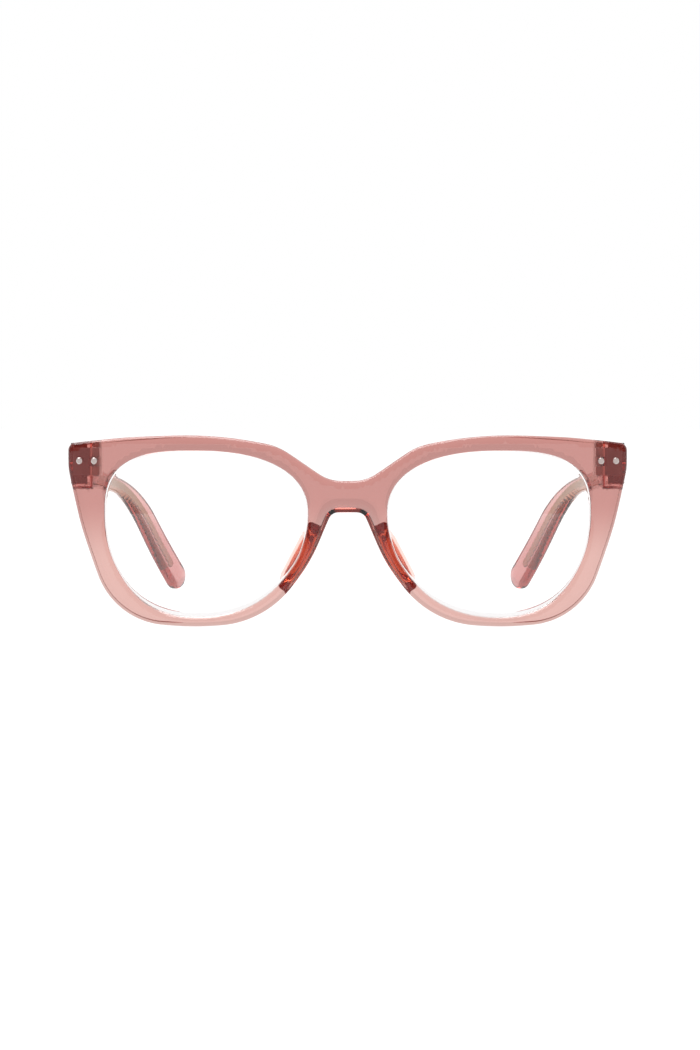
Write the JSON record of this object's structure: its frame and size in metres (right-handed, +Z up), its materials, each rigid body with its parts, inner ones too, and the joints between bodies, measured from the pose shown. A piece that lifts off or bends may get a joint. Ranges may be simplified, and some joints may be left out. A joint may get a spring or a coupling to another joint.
{
  "type": "blue light glasses",
  "caption": "Full-rim eyeglasses with clear lenses, a translucent rose acetate front and folding drop-hook temples.",
  "frame": {"origin": "bridge saddle: middle of the bridge's underside, on the front face", "axes": "+Z up, front faces -Y, temples run along +Y, +X is the wearer's left"},
  "size_m": [0.1412, 0.1345, 0.0481],
  "materials": {
    "acetate": "polished translucent acetate",
    "lens": "clear, coated",
    "hinge_metal": "polished nickel silver",
    "screw_steel": "polished",
    "nylon": "matt",
    "core_metal": "embossed nickel silver, seen through the acetate"
  },
  "bodies": {
    "front": {"front_frame": "acetate", "left_lens": "lens", "right_lens": "lens", "left_nose_pad": "acetate", "right_nose_pad": "acetate", "left_front_hinge_leaf": "hinge_metal", "right_front_hinge_leaf": "hinge_metal", "left_front_rivets": "hinge_metal", "right_front_rivets": "hinge_metal", "left_hinge_screw": "screw_steel", "right_hinge_screw": "screw_steel"},
    "left_temple_body": {"left_temple": "acetate", "left_core_wire": "core_metal", "left_temple_hinge_leaf": "hinge_metal", "left_temple_rivets": "hinge_metal", "left_hinge_bush": "nylon"},
    "right_temple_body": {"right_temple": "acetate", "right_core_wire": "core_metal", "right_temple_hinge_leaf": "hinge_metal", "right_temple_rivets": "hinge_metal", "right_hinge_bush": "nylon"}
  },
  "joints": [
    {"name": "left_temple_hinge", "type": "hinge", "parent": "front", "child": "left_temple_body", "pos_m": [0.0635, 0.0129, 0.0126], "axis": [0, 0, 1], "range_deg": [0, 83.5]},
    {"name": "right_temple_hinge", "type": "hinge", "parent": "front", "child": "right_temple_body", "pos_m": [-0.0635, 0.0129, 0.0126], "axis": [0, 0, -1], "range_deg": [0, 79]}
  ]
}
